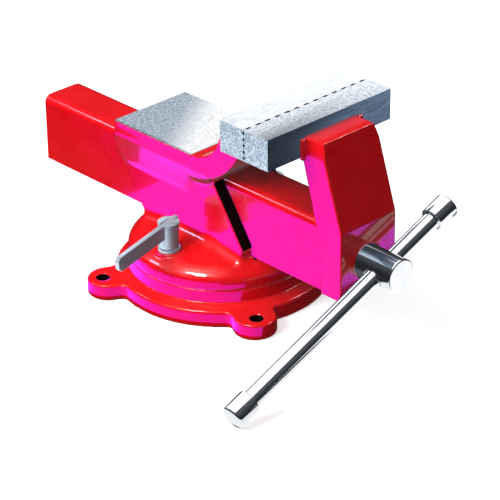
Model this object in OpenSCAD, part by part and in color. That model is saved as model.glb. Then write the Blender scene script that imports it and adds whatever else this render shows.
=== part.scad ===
// Swivel-base bench vise, nominal 125 mm jaws. Millimetres, +Z up.
// The origin is the middle of the base's underside, on the swivel axis.
// The user stands at -Y and the slide comes out at +Y. The jaws are closed.

/* [Jaws] */
// Width of each jaw bar
jaw_w = 125; // [100:1:160]
// Thickness of each jaw bar from gripping face to back
jaw_bar_t = 24.2; // [19:0.1:30]
// Height of each jaw bar
jaw_bar_h = 24.5; // [20:0.5:30]
// Gap between the two gripping faces when closed
jaw_gap = 0.3; // [0.2:0.1:1]
// Closed jaw line, in front of the swivel axis
jaw_line = 91.2; // [75:0.1:110]
// Height of the jaws above the bench
jaw_top_z = 175; // [145:1:210]
// Height by which the castings stay below the top of the bars
jaw_step = 9; // [6:0.5:12]
// Distance between the two screws of a jaw bar
jaw_screw_pitch = 36; // [30:1:40]
// Shank diameter of the jaw bar screws
jaw_screw_d = 8; // [6:0.5:10]

/* [Slide] */
// Width of the box slide
slide_w = 39; // [34:0.5:50]
// Height of the box slide
slide_h = 56; // [50:0.5:68]
// Underside of the slide above the bench
slide_z0 = 43; // [43:0.5:52]
// Thickness of the slide's two side walls
slide_wall = 5.5; // [4:0.5:6]
// Thickness of the slide's top wall
slide_roof = 6; // [5:0.5:9]
// Radius of the slide's two top edges
slide_r = 6.5; // [3:0.5:8]
// Rear end of the slide behind the swivel axis, jaws closed
slide_rear = 186.5; // [180:0.5:225]
// Running clearance round the slide and over the bars
slide_gap = 0.35; // [0.3:0.05:0.6]

/* [Moving jaw] */
// Half width of the upright
upright_half = 28.3; // [24:0.1:34]
// Thickness of the upright at its top
upright_top_t = 18.6; // [16:0.1:24]
// Thickness of the front wall that carries the screw
front_wall_t = 20.5; // [17:0.5:26]
// Thickness of the seat pad behind the bar
seat_t = 3; // [2:0.5:4]
// Amount by which the seat pad is wider than the upright, each side
seat_over = 3; // [1:0.5:5]

/* [Body] */
// Thickness of the housing's side walls
housing_wall = 10.5; // [8:0.5:14]
// Overhang of the anvil over each housing wall
anvil_over = 6.5; // [4:0.5:9]
// Thickness of the anvil over the slide
anvil_t = 19; // [14:0.5:24]
// Rear edge of the anvil behind the swivel axis
anvil_rear = 80; // [66:1:96]
// Thickness of the fixed jaw behind its bar
neck_t = 28; // [23:0.5:34]
// Radius of the hollow between anvil and fixed jaw
scoop_r = 32; // [24:1:38]
// Radius of the fixed jaw's underside
under_r = 65; // [54:1:78]

/* [Swivel base] */
// Radius of the base's round flange
base_r = 82.7; // [78:0.1:99]
// Thickness of the flange and ears
flange_t = 13; // [10.5:0.5:16]
// Height of the base's machined top face
base_h = 25.5; // [24:0.5:29]
// Radius of the turntable skirt
skirt_r = 72.8; // [69:0.1:78]
// Diameter of the circle of mounting holes
ear_pcd = 190; // [184:1:228]
// Diameter of the mounting holes
ear_hole_d = 10.5; // [8.5:0.5:12.5]
// Radius of the round end of each ear
ear_r = 16.5; // [13.5:0.5:20]
// Turn of the base under the body
base_turn = 17; // [0:1:45]
// Clearance between the base and the turntable
swivel_gap = 0.3; // [0.3:0.1:0.6]
// Diameter of the centre pivot bolt
pivot_d = 16; // [13:0.5:19]

/* [Swivel lock] */
// Radius of the circular T-slot
lock_r = 55; // [52:0.5:58]
// Shank diameter of the lock bolts
lock_bolt_d = 10; // [8:0.5:12]
// Side of the square T-bolt heads
lock_head_w = 16; // [14:0.5:17]
// Diameter of the lock hubs
lock_hub_d = 15.2; // [14.5:0.1:18]
// Height of the lock hubs
lock_hub_h = 21.5; // [19:0.5:26]
// Height of the flat pad under each hub, above the bench
lock_pad_z = 43; // [42:0.5:46]
// Length of the lock arms from the hub's axis
lock_arm_l = 60.5; // [50:0.5:75]
// Droop of the lock arms
lock_arm_droop = 6.5; // [0:0.5:8]
// Direction of the near lock arm
lock_left_turn = 188; // [120:1:240]
// Direction of the far lock arm
lock_right_turn = 60; // [-60:1:60]

/* [Screw] */
// Diameter of the spindle
screw_d = 20; // [16.5:0.5:24]
// Diameter of the screw's head
head_d = 26; // [24:0.5:32]
// Length of the screw's head
head_l = 35.5; // [30:0.5:43]
// Rear end of the spindle behind the swivel axis, jaws closed
screw_rear = 154; // [152:1:178]
// Radial running clearance of spindle, pivot and lock bolts
run_gap = 0.1; // [0.05:0.01:0.12]
// Diameter of the two bolts that hold the nut
nut_bolt_d = 8; // [6:0.5:9]
// Length of the coil spring
spring_l = 12; // [10:0.5:15]
// Wire diameter of the coil spring
spring_wire = 2; // [1.5:0.1:2.2]

/* [Handle] */
// Diameter of the tommy bar
handle_d = 14; // [11.5:0.5:17]
// Overall length of the tommy bar with its caps
handle_l = 236; // [190:1:284]
// Diameter of the end caps
cap_d = 19; // [17.5:0.5:23]
// Length of the end caps
cap_l = 19; // [15:0.5:23]
// Tilt of the bar at rest
handle_tilt = 22; // [0:1:25]
// Endways shift of the bar at rest, from its middle
handle_shift = -45; // [-50:1:50]

/* [Hidden] */
$fn = 96;
eps = 0.01;
far = 400; // longer than any cut needs

enamel = "#cf1220";
ground_steel = "#b9bfc4";
bright_steel = "#d9dde0";
dark_steel = "#6a6f75";
zinc = "#9aa7b2";
bronze = "#b08d4a";

// Slide and tunnel
slide_top = slide_z0 + slide_h;
screw_z = slide_z0 + slide_h / 2;
tunnel_half = slide_w / 2 + slide_gap;
floor_z = slide_z0 - slide_gap;
tunnel_top = slide_top + slide_gap;
channel_half = slide_w / 2 - slide_wall;

// Fixed side, measured along Y
fixed_face_y = -jaw_line + jaw_gap / 2;
fixed_back_y = fixed_face_y + jaw_bar_t;
neck_rear_y = fixed_back_y + neck_t;
anvil_front_y = neck_rear_y + scoop_r;
anvil_top = tunnel_top + anvil_t;
housing_half = tunnel_half + housing_wall;
anvil_half = housing_half + anvil_over;
casting_top = jaw_top_z - jaw_step;
jaw_screw_z = casting_top - jaw_screw_d / 2 - 3;
jaw_screw_grip = 11; // length of screw in the castings
jaw_head_d = jaw_screw_d + 5;
jaw_head_h = jaw_screw_d;
jaw_head_sink = 1;
neck_bevel = 13;
under_drop = 2; // the curved underside starts this far behind the bar's back
mouth_low_y = fixed_back_y + 12.5;
mouth_low_z = slide_z0 + 10;
mouth_top_y = mouth_low_y + 32;

// Moving side, measured along Y
moving_face_y = -jaw_line - jaw_gap / 2;
moving_back_y = moving_face_y - jaw_bar_t;
wall_rear_y = moving_back_y - upright_top_t;
wall_front_y = wall_rear_y - front_wall_t;
bend_z = slide_top + 3;
upright_z0 = slide_z0 + 4;
seat_bottom_z = jaw_top_z - jaw_bar_h - 1.5;

// Pivot bolt, its pit in the body and its recess in the base
pivot_head_h = 6;
pivot_head_af = pivot_d * 1.4;
pivot_pit_r = pivot_head_af / 2 / cos(30) + 2;
pivot_pit_z = floor_z - pivot_head_h - 0.7;
pivot_nut_h = 12;
pivot_nut_af = pivot_d * 1.5;
pivot_recess_r = pivot_nut_af / 2 / cos(30) + 5;
pivot_recess_h = base_h - 8;
pivot_washer_t = 2.2;

// Screw group
washer_t = 2;
head_sink = 2.5; // the head's back lies this far inside the front wall's face
washer_seat_y = wall_front_y + head_sink + washer_t;
head_back_y = wall_front_y + head_sink;
head_front_y = head_back_y - head_l;
cross_y = head_back_y - head_l / 2;
counterbore_d = head_d + 1.6;
collar_d = 2 * channel_half - 1;
collar_l = 10;
fit_air = 0.3; // air between a turning face and the face beside it
spring_y = wall_rear_y + fit_air;
collar_y = spring_y + spring_l + fit_air;
spring_coil_d = screw_d + 2 * run_gap + spring_wire + 0.6;
collar_pin_d = 4;
nut_half = channel_half - fit_air;
nut_top = screw_z + screw_d / 2 + 6;
nut_bolt_af = nut_bolt_d + 5; // across the flats of its head
nut_bolt_y = pivot_pit_r + 2 + nut_bolt_d / 2;
nut_bolt_grip = 11; // length of the bolts in the nut
nut_l = 2 * (nut_bolt_y + nut_bolt_d / 2 + 3);

// Base, turntable and pivot
turntable_z = base_h + swivel_gap;
pocket_in_r = nut_bolt_y - nut_bolt_af / 2 / cos(30) - 0.5;
pocket_out_r = 41;
pocket_top_z = pivot_pit_z - 4;
slot_neck = lock_bolt_d + 0.8;
slot_wide = lock_head_w + 3;
slot_floor_z = 8.5;
slot_lip_z = base_h - 8.5;
ear_count = 4;
ear_reach = ear_pcd / 2 - 4.5; // centre of an ear's round end
fillet_r = 8;

// Lock levers
lock_washer_t = 2.5;
lock_washer_d = lock_hub_d + 2;
lock_rim_d = lock_hub_d + 1.8;
lock_rim_h = 2.4;
lock_arm_h = 12;
lock_arm_t = 4;
lock_arm_air = 0.02; // between the arm and each side of its slot
lock_stub = 9.5; // length of the arm past the hub's axis
lock_hub_z = lock_pad_z + lock_washer_t;
lock_hub_top = lock_hub_z + lock_hub_h;
lock_stud_top = lock_hub_top - lock_arm_h - 1.5;

function arc(cx, cy, r, a0, a1, n = 8) =
    [for (i = [0 : n]) let (a = a0 + (a1 - a0) * i / n) [cx + r * cos(a), cy + r * sin(a)]];

// A side-view outline, given as [y, z] points, made solid across the vise
module across(half_width)
    rotate([90, 0, 90]) linear_extrude(2 * half_width, center = true) children();

// A rod along +Y from y0 to y1 on the height z
module rod_y(d, y0, y1, x = 0, z = screw_z)
    translate([x, y1, z]) rotate([90, 0, 0]) cylinder(d = d, h = y1 - y0);

module hex_z(across_flats, h)
    cylinder(d = across_flats / cos(30), h = h, $fn = 6);

// ---------------------------------------------------------------- swivel base
module ear_outline() {
    // The fillet circle touches the flange and the ear's round end from outside
    to_flange = base_r + fillet_r;
    to_ear = ear_r + fillet_r;
    turn = acos((ear_reach * ear_reach + to_flange * to_flange - to_ear * to_ear)
        / (2 * ear_reach * to_flange));
    translate([ear_reach, 0]) circle(ear_r);
    for (s = [-1, 1]) {
        centre = to_flange * [cos(turn), s * sin(turn)];
        difference() {
            polygon([[base_r / 2, 0], [ear_reach, 0], centre, centre * base_r / 2 / to_flange]);
            translate(centre) circle(fillet_r);
        }
    }
}

module swivel_base() {
    color(enamel)
    rotate([0, 0, base_turn])
    difference() {
        union() {
            rotate_extrude() polygon(concat(
                [[0, 0], [base_r, 0]],
                arc(base_r - 2, flange_t - 2, 2, 0, 60, 4),
                arc(skirt_r + 3, flange_t + 4.5, 3, 240, 180, 4),
                arc(skirt_r - 1.5, base_h - 1.5, 1.5, 0, 90, 4),
                [[0, base_h]]));
            for (i = [0 : ear_count - 1]) rotate([0, 0, 45 + i * 90])
                linear_extrude(flange_t) ear_outline();
        }
        for (i = [0 : ear_count - 1]) rotate([0, 0, 45 + i * 90])
            translate([ear_pcd / 2, 0, -eps]) cylinder(d = ear_hole_d, h = flange_t + 1);
        // Circular T-slot: a narrow neck over a wide chamber
        rotate_extrude() polygon([
            [lock_r - slot_neck / 2, base_h + 1], [lock_r - slot_neck / 2, slot_lip_z],
            [lock_r - slot_wide / 2, slot_lip_z], [lock_r - slot_wide / 2, slot_floor_z],
            [lock_r + slot_wide / 2, slot_floor_z], [lock_r + slot_wide / 2, slot_lip_z],
            [lock_r + slot_neck / 2, slot_lip_z], [lock_r + slot_neck / 2, base_h + 1]]);
        // Round opening below, through which the T-bolts go in
        rotate([0, 0, 90]) translate([lock_r, 0, -eps])
            cylinder(d = lock_head_w * sqrt(2) + 1, h = slot_floor_z + 2 * eps);
        // Pivot bore and the recess for its nut
        translate([0, 0, -eps]) cylinder(r = pivot_recess_r, h = pivot_recess_h);
        cylinder(d = pivot_d + 2 * run_gap, h = base_h + 1);
        // Ring-shaped relief that leaves a hub and an outer rim to stand on
        translate([0, 0, -eps]) difference() {
            cylinder(r = lock_r - slot_wide / 2 - 5, h = 12);
            cylinder(r = pivot_recess_r + 6, h = 12);
        }
    }
}

// ---------------------------------------------------------------------- body
module turntable() {
    rotate_extrude() polygon(concat(
        [[0, turntable_z], [skirt_r, turntable_z]],
        arc(skirt_r - 9, turntable_z + 5.5, 9, 0, 58, 6),
        [[lock_r + lock_washer_d / 2, lock_pad_z - 1.8], [housing_half + 6, slide_z0 + 2.5],
         [0, slide_z0 + 2.5]]));
    for (s = [-1, 1]) translate([s * lock_r, 0, turntable_z])
        cylinder(d = lock_washer_d + 3, h = lock_pad_z - turntable_z);
}

module housing() {
    foot_z = slide_z0 + 2;
    across(housing_half) polygon([
        [mouth_low_y + 2.5, foot_z - 6], [mouth_low_y + 2.5, foot_z],
        [mouth_low_y, mouth_low_z], [mouth_top_y, slide_top + 1.5],
        [mouth_top_y, tunnel_top + anvil_t / 2], [anvil_rear, tunnel_top + anvil_t / 2],
        [anvil_rear + 2, slide_top - 9], [anvil_rear - 9, screw_z - 4],
        [anvil_rear - 16, slide_z0 + 13], [anvil_rear - 25, foot_z],
        [anvil_rear - 25, foot_z - 6]]);
}

module anvil_and_jaw() {
    under_y = fixed_back_y + under_drop + under_r;
    intersection() {
        difference() {
            union() {
                // Anvil
                across(anvil_half) polygon([[anvil_front_y - scoop_r, tunnel_top - 1],
                    [anvil_rear + 3, tunnel_top - 1], [anvil_rear, anvil_top],
                    [anvil_front_y - scoop_r, anvil_top]]);
                // Neck of the fixed jaw, its back bevelled under the bar's top
                across(anvil_half) polygon([[fixed_back_y, tunnel_top - 1],
                    [anvil_front_y, tunnel_top - 1], [anvil_front_y, anvil_top + scoop_r / 2],
                    [neck_rear_y, casting_top - neck_bevel],
                    [neck_rear_y - neck_bevel, casting_top], [fixed_back_y, casting_top]]);
            }
            // Hollow between anvil and jaw
            translate([0, anvil_front_y, anvil_top + scoop_r]) rotate([0, 90, 0])
                cylinder(r = scoop_r, h = far, center = true);
        }
        // Curved underside of the jaw
        union() {
            translate([0, under_y, tunnel_top - 1 + under_r]) rotate([0, 90, 0])
                cylinder(r = under_r, h = far, center = true, $fn = 180);
            translate([-far / 2, under_y, 0]) cube(far);
            translate([-far / 2, -far / 2, tunnel_top - 1 + min(under_r, seat_bottom_z - tunnel_top)])
                cube(far);
        }
    }
}

module vise_body() {
    color(enamel)
    difference() {
        union() {
            turntable();
            housing();
            anvil_and_jaw();
        }
        // Tunnel for the slide
        translate([-tunnel_half, -far / 2, floor_z])
            cube([2 * tunnel_half, far, tunnel_top - floor_z]);
        // Pit for the pivot bolt's head, and its bore
        translate([0, 0, pivot_pit_z]) cylinder(r = pivot_pit_r, h = far / 8);
        cylinder(d = pivot_d + 2 * run_gap, h = floor_z);
        // Ring-shaped pocket below, for the nut's bolts
        translate([0, 0, turntable_z - eps]) difference() {
            cylinder(r = pocket_out_r, h = pocket_top_z - turntable_z + eps);
            cylinder(r = pocket_in_r, h = pocket_top_z - turntable_z + eps);
        }
        for (s = [-1, 1]) {
            // Spot face for the lock washer
            translate([s * lock_r, 0, lock_pad_z]) cylinder(d = lock_washer_d + 3, h = 12);
            translate([0, s * nut_bolt_y, turntable_z])
                cylinder(d = nut_bolt_d + 2 * run_gap, h = floor_z);
            translate([s * lock_r, 0, turntable_z - 1])
                cylinder(d = lock_bolt_d + 2 * run_gap, h = lock_pad_z);
            rod_y(jaw_screw_d, fixed_back_y - 1, fixed_back_y + jaw_screw_grip + 1,
                x = s * jaw_screw_pitch / 2, z = jaw_screw_z);
        }
    }
}

// ---------------------------------------------------------------- moving jaw
module slide_outline(grow = 0) {
    // Front view of the slide: square below, round along its two top edges
    half = slide_w / 2 + grow;
    polygon(concat([[-half, slide_z0], [half, slide_z0]],
        arc(half - slide_r, slide_top + grow - slide_r, slide_r, 0, 90, 6),
        arc(-half + slide_r, slide_top + grow - slide_r, slide_r, 90, 180, 6)));
}

module moving_jaw() {
    color(enamel)
    difference() {
        union() {
            // Box slide
            translate([0, slide_rear, 0]) rotate([90, 0, 0])
                linear_extrude(slide_rear - wall_rear_y + 1) slide_outline();
            // Upright, leaning forwards down to the bend
            difference() {
                across(upright_half) polygon([
                    [moving_back_y, casting_top], [moving_back_y, seat_bottom_z],
                    [wall_rear_y + 3, slide_top - 5], [wall_rear_y, slide_top - 20],
                    [wall_rear_y, upright_z0], [wall_front_y, upright_z0], [wall_front_y, bend_z],
                    [wall_rear_y, casting_top]]);
                // Bevelled top corners
                for (s = [-1, 1]) translate([s * upright_half, 0, casting_top])
                    rotate([0, s * 12, 0]) translate([0, 0, 3.5])
                        cube([3.2, far, 24], center = true);
            }
            // Seat pad for the bar
            translate([-upright_half - seat_over, moving_back_y - seat_t, seat_bottom_z])
                cube([2 * (upright_half + seat_over), seat_t, jaw_bar_h - jaw_step]);
        }
        // Inside of the slide, open below and behind
        translate([-channel_half, wall_rear_y, slide_z0 - 1])
            cube([2 * channel_half, far, slide_h - slide_roof + 1]);
        // Bore and counterbore for the screw
        rod_y(screw_d + 2 * run_gap, wall_front_y - 1, wall_rear_y + 1);
        rod_y(counterbore_d, wall_front_y - 1, washer_seat_y);
        for (s = [-1, 1]) rod_y(jaw_screw_d, moving_back_y - jaw_screw_grip - 1,
            moving_back_y + 1, x = s * jaw_screw_pitch / 2, z = jaw_screw_z);
    }
}

// ------------------------------------------------------------- jaws and screws
// dir is +1 where the bar's back faces +Y
module jaw_bar(face_y, dir) {
    difference() {
        translate([-jaw_w / 2, min(face_y, face_y + dir * jaw_bar_t), jaw_top_z - jaw_bar_h])
            cube([jaw_w, jaw_bar_t, jaw_bar_h]);
        for (s = [-1, 1]) translate([s * jaw_screw_pitch / 2, face_y, jaw_screw_z])
            rotate([-90 * dir, 0, 0]) {
                translate([0, 0, -1]) cylinder(d = jaw_screw_d + 0.4, h = jaw_bar_t + 2);
                translate([0, 0, -1])
                    cylinder(d = jaw_head_d + 0.6, h = jaw_head_h + jaw_head_sink + 1);
            }
    }
}

module jaw_screws(face_y, dir, grip) {
    for (s = [-1, 1]) translate([s * jaw_screw_pitch / 2, face_y, jaw_screw_z])
        rotate([-90 * dir, 0, 0]) translate([0, 0, jaw_head_sink])
            difference() {
                union() {
                    cylinder(d = jaw_head_d, h = jaw_head_h);
                    cylinder(d = jaw_screw_d, h = jaw_bar_t - jaw_head_sink + grip);
                }
                // Hexagon socket
                translate([0, 0, -1])
                    cylinder(d = jaw_screw_d * 0.86, h = jaw_head_h * 0.55 + 1, $fn = 6);
            }
}

module fixed_jaw_bar() { color(ground_steel) jaw_bar(fixed_face_y, 1); }
module moving_jaw_bar() { color(ground_steel) jaw_bar(moving_face_y, -1); }
module fixed_jaw_screws() { color(dark_steel) jaw_screws(fixed_face_y, 1, jaw_screw_grip); }
module moving_jaw_screws() { color(dark_steel) jaw_screws(moving_face_y, -1, jaw_screw_grip); }

// ----------------------------------------------------------------- screw group
// Places its children on the head, with their +Z along the tommy bar
module on_handle_axis()
    translate([0, cross_y, screw_z]) rotate([0, 90 - handle_tilt, 0]) children();

module lead_screw() {
    color(bright_steel)
    difference() {
        union() {
            translate([0, head_back_y, screw_z]) rotate([90, 0, 0]) rotate_extrude()
                polygon(concat([[0, 0]], arc(head_d / 2 - 3, 3, 3, -90, 0, 5),
                    arc(head_d / 2 - 1.2, head_l - 1.2, 1.2, 0, 90, 3), [[0, head_l]]));
            rod_y(screw_d, head_back_y - 1, screw_rear);
        }
        on_handle_axis() cylinder(d = handle_d + 0.4, h = 2 * head_d, center = true);
        translate([0, collar_y + collar_l / 2, screw_z])
            cylinder(d = collar_pin_d, h = far, center = true);
    }
}

module ring_y(outer_d, y0, y1) difference() {
    rod_y(outer_d, y0, y1);
    rod_y(screw_d + 2 * run_gap, y0 - 1, y1 + 1);
}

module thrust_washer() {
    color(bronze) ring_y(head_d - 0.6, head_back_y + run_gap / 2, washer_seat_y - run_gap / 2);
}

module retaining_collar() {
    color(dark_steel) difference() {
        ring_y(collar_d, collar_y, collar_y + collar_l);
        translate([0, collar_y + collar_l / 2, screw_z])
            cylinder(d = collar_pin_d, h = far, center = true);
    }
}

module collar_pin() {
    color(bright_steel) translate([0, collar_y + collar_l / 2, screw_z])
        cylinder(d = collar_pin_d - 0.04, h = collar_d - 1, center = true);
}

// A round wire wound on the screw's shank, swept ring by ring along its helix
module thrust_spring() {
    turns = 3.5;
    sides = 8;
    steps = 56;
    rise = spring_l - spring_wire;
    ring = [for (i = [0 : steps]) let (t = i / steps, a = 360 * turns * t)
        for (k = [0 : sides - 1]) let (b = 360 * k / sides,
            r = (spring_coil_d + spring_wire * cos(b)) / 2)
            [r * cos(a), spring_wire / 2 * (1 + sin(b)) + rise * t, r * sin(a)]];
    wall = [for (i = [0 : steps - 1]) for (k = [0 : sides - 1]) let (n = (k + 1) % sides)
        [i * sides + k, i * sides + n, (i + 1) * sides + n, (i + 1) * sides + k]];
    first = [for (k = [sides - 1 : -1 : 0]) k];
    last = [for (k = [0 : sides - 1]) steps * sides + k];
    color(dark_steel) translate([0, spring_y, screw_z])
        polyhedron(ring, concat(wall, [first, last]), convexity = 6);
}

module screw_nut() {
    nut_y0 = -nut_l / 2;
    color(bronze) difference() {
        translate([-nut_half, nut_y0, floor_z]) cube([2 * nut_half, nut_l, nut_top - floor_z]);
        rod_y(screw_d + 2 * run_gap, nut_y0 - 1, nut_l / 2 + 1);
        for (s = [-1, 1]) translate([0, s * nut_bolt_y, floor_z - 1])
            cylinder(d = nut_bolt_d, h = nut_bolt_grip + 2);
    }
}

module nut_bolts() {
    head_h = 5;
    color(dark_steel) for (s = [-1, 1])
        translate([0, s * nut_bolt_y, pocket_top_z - head_h]) {
            hex_z(nut_bolt_af, head_h);
            cylinder(d = nut_bolt_d, h = floor_z - pocket_top_z + head_h + nut_bolt_grip);
        }
}

// ---------------------------------------------------------------------- handle
module handle_bar() {
    color(bright_steel) on_handle_axis() translate([0, 0, handle_shift])
        cylinder(d = handle_d, h = handle_l - cap_l, center = true);
}

// end is +1 for the cap on the upper right
module handle_cap(end) {
    edge = 1.5;
    color(bright_steel) on_handle_axis() translate([0, 0, handle_shift + end * handle_l / 2])
        mirror([0, 0, end > 0 ? 1 : 0]) difference() {
            rotate_extrude() polygon(concat([[0, 0]],
                arc(cap_d / 2 - edge, edge, edge, -90, 0, 4),
                arc(cap_d / 2 - edge, cap_l - edge, edge, 0, 90, 4), [[0, cap_l]]));
            translate([0, 0, cap_l / 2]) cylinder(d = handle_d, h = cap_l);
        }
}

module handle_cap_left() { handle_cap(-1); }
module handle_cap_right() { handle_cap(1); }

// ----------------------------------------------------------------------- pivot
module pivot_bolt() {
    color(dark_steel) translate([0, 0, pivot_pit_z]) {
        hex_z(pivot_head_af, pivot_head_h);
        translate([0, 0, 1.5 - pivot_pit_z]) cylinder(d = pivot_d, h = pivot_pit_z);
    }
}

module pivot_washer() {
    color(zinc) translate([0, 0, pivot_recess_h - swivel_gap - pivot_washer_t]) difference() {
        cylinder(r = pivot_recess_r - 2.5, h = pivot_washer_t);
        translate([0, 0, -1]) cylinder(d = pivot_d + 2 * run_gap, h = 5);
    }
}

module pivot_nut() {
    color(dark_steel)
    translate([0, 0, pivot_recess_h - swivel_gap - pivot_washer_t - pivot_nut_h]) difference() {
        hex_z(pivot_nut_af, pivot_nut_h);
        translate([0, 0, -1]) cylinder(d = pivot_d, h = pivot_nut_h + 2);
    }
}

// ----------------------------------------------------------------- swivel lock
// side is -1 for the near lever and +1 for the far one
module at_lock(side) translate([side * lock_r, 0, 0]) children();

// Places its children at the hub's top, with their +X along the drooping arm
module on_arm(side, turn)
    at_lock(side) translate([0, 0, lock_hub_top]) rotate([0, 0, turn])
        rotate([0, lock_arm_droop, 0]) children();

module lock_hub(side, turn) {
    slot_w = lock_arm_t + 2 * lock_arm_air;
    color(zinc) difference() {
        at_lock(side) {
            translate([0, 0, lock_hub_z]) cylinder(d = lock_hub_d, h = lock_hub_h);
            translate([0, 0, lock_hub_top - lock_rim_h]) cylinder(d = lock_rim_d, h = lock_rim_h);
        }
        on_arm(side, turn) translate([-lock_rim_d, -slot_w / 2, -lock_arm_h])
            cube([2 * lock_rim_d, slot_w, 2 * lock_arm_h]);
        at_lock(side) translate([0, 0, lock_hub_z - 1])
            cylinder(d = lock_bolt_d + 2 * run_gap, h = lock_stud_top - lock_hub_z + 1.6);
    }
}

module lock_arm(side, turn) {
    cut = 2.5;
    color(zinc) on_arm(side, turn) rotate([90, 0, 0])
        linear_extrude(lock_arm_t, center = true) polygon([
            [-lock_stub, -lock_arm_h], [lock_arm_l - cut, -lock_arm_h],
            [lock_arm_l, cut - lock_arm_h], [lock_arm_l, -cut],
            [lock_arm_l - cut, 0], [-lock_stub, 0]]);
}

module lock_washer(side) {
    color(zinc) at_lock(side) translate([0, 0, lock_pad_z]) difference() {
        cylinder(d = lock_washer_d, h = lock_washer_t - run_gap);
        translate([0, 0, -1]) cylinder(d = lock_bolt_d + 2 * run_gap, h = 5);
    }
}

module lock_bolt(side) {
    head_top = slot_lip_z - swivel_gap;
    head_bottom = slot_floor_z + swivel_gap;
    color(dark_steel) at_lock(side) {
        translate([0, 0, (head_top + head_bottom) / 2])
            cube([lock_head_w, lock_head_w, head_top - head_bottom], center = true);
        translate([0, 0, head_bottom]) cylinder(d = lock_bolt_d, h = lock_stud_top - head_bottom);
    }
}

module lock_hub_left() { lock_hub(-1, lock_left_turn); }
module lock_arm_left() { lock_arm(-1, lock_left_turn); }
module lock_washer_left() { lock_washer(-1); }
module lock_bolt_left() { lock_bolt(-1); }
module lock_hub_right() { lock_hub(1, lock_right_turn); }
module lock_arm_right() { lock_arm(1, lock_right_turn); }
module lock_washer_right() { lock_washer(1); }
module lock_bolt_right() { lock_bolt(1); }

swivel_base();
vise_body();
moving_jaw();
fixed_jaw_bar();
moving_jaw_bar();
fixed_jaw_screws();
moving_jaw_screws();
lead_screw();
thrust_washer();
thrust_spring();
retaining_collar();
collar_pin();
screw_nut();
nut_bolts();
handle_bar();
handle_cap_left();
handle_cap_right();
pivot_bolt();
pivot_washer();
pivot_nut();
lock_hub_left();
lock_arm_left();
lock_washer_left();
lock_bolt_left();
lock_hub_right();
lock_arm_right();
lock_washer_right();
lock_bolt_right();
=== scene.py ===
import math

import bmesh
import bpy
import numpy as np
from mathutils import Matrix, Vector


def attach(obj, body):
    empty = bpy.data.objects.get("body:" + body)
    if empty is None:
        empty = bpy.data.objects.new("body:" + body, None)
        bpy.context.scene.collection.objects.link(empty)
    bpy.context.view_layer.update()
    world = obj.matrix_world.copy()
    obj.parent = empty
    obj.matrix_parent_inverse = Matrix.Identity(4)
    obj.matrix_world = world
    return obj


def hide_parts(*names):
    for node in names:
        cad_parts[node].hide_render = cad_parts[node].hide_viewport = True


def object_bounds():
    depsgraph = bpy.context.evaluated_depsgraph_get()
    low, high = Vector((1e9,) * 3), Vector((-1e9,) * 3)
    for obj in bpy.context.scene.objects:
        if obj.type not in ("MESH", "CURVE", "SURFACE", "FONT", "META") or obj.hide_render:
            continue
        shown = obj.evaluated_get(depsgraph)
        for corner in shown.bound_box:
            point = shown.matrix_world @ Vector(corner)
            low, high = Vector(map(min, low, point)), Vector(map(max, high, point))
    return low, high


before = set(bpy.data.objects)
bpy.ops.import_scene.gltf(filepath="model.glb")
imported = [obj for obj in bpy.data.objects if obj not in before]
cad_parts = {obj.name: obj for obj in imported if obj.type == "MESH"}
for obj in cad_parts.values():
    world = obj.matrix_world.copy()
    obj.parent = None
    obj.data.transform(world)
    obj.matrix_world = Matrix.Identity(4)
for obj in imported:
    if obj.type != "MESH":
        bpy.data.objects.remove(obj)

cad_low, cad_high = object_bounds()
MM = 0.001


def added(name, data):
    """A new object in the scene."""
    thing = bpy.data.objects.new(name, data)
    bpy.context.scene.collection.objects.link(thing)
    return thing


# ---------------------------------------------------------------- floor, light and camera
# The vise stands on a wide sweep of matt white card. A large soft lamp over its left shoulder,
# one above and a weak one in front light it all. The other lamps and lit cards give a sheen to
# one kind of piece each: pink and white on the enamel, cool on the steel, white on the chrome.
floor_half = 9.0
card = bpy.data.meshes.new("floor")
card.from_pydata(
    [(sx * floor_half, sy * floor_half, cad_low.z) for sx, sy in ((-1, -1), (1, -1), (1, 1), (-1, 1))],
    [], [(0, 1, 2, 3)])
floor = added("floor", card)
floor_finish = bpy.data.materials.new("white_card")
floor_finish.use_nodes = True
floor_shader = floor_finish.node_tree.nodes["Principled BSDF"]
floor_shader.inputs["Base Color"].default_value = (0.93, 0.93, 0.93, 1)
floor_shader.inputs["Roughness"].default_value = 0.9
floor_shader.inputs["Specular IOR Level"].default_value = 0.1
floor_shader.inputs["Emission Color"].default_value = (1, 1, 1, 1)
floor_shader.inputs["Emission Strength"].default_value = 0.6
card.materials.append(floor_finish)


painted = bpy.data.collections.new("painted_castings")
steel = bpy.data.collections.new("steel_pieces")
polished = bpy.data.collections.new("polished_pieces")


def soft_lamp(name, place, aim, size, watts, colour=(1, 1, 1), only_on=None):
    """A soft box at place, turned towards aim, in metres. only_on makes it a sheen on those pieces."""
    data = bpy.data.lights.new(name, "AREA")
    data.shape = "RECTANGLE"
    data.size, data.size_y = size
    data.energy = watts
    data.color = colour
    lamp = added(name, data)
    lamp.location = place
    lamp.rotation_euler = (Vector(aim) - Vector(place)).to_track_quat("-Z", "Y").to_euler()
    lamp.visible_camera = False
    if only_on:
        lamp.light_linking.receiver_collection = only_on
        lamp.visible_diffuse = False
    return lamp


def low_card(name, x, y, size, watts, colour, only_on):
    """A lit card that lies by the vise, facing up, for its pieces to reflect."""
    return soft_lamp(name, (x, y, 0.004), (x, y, 1), size, watts, colour, only_on)


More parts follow.
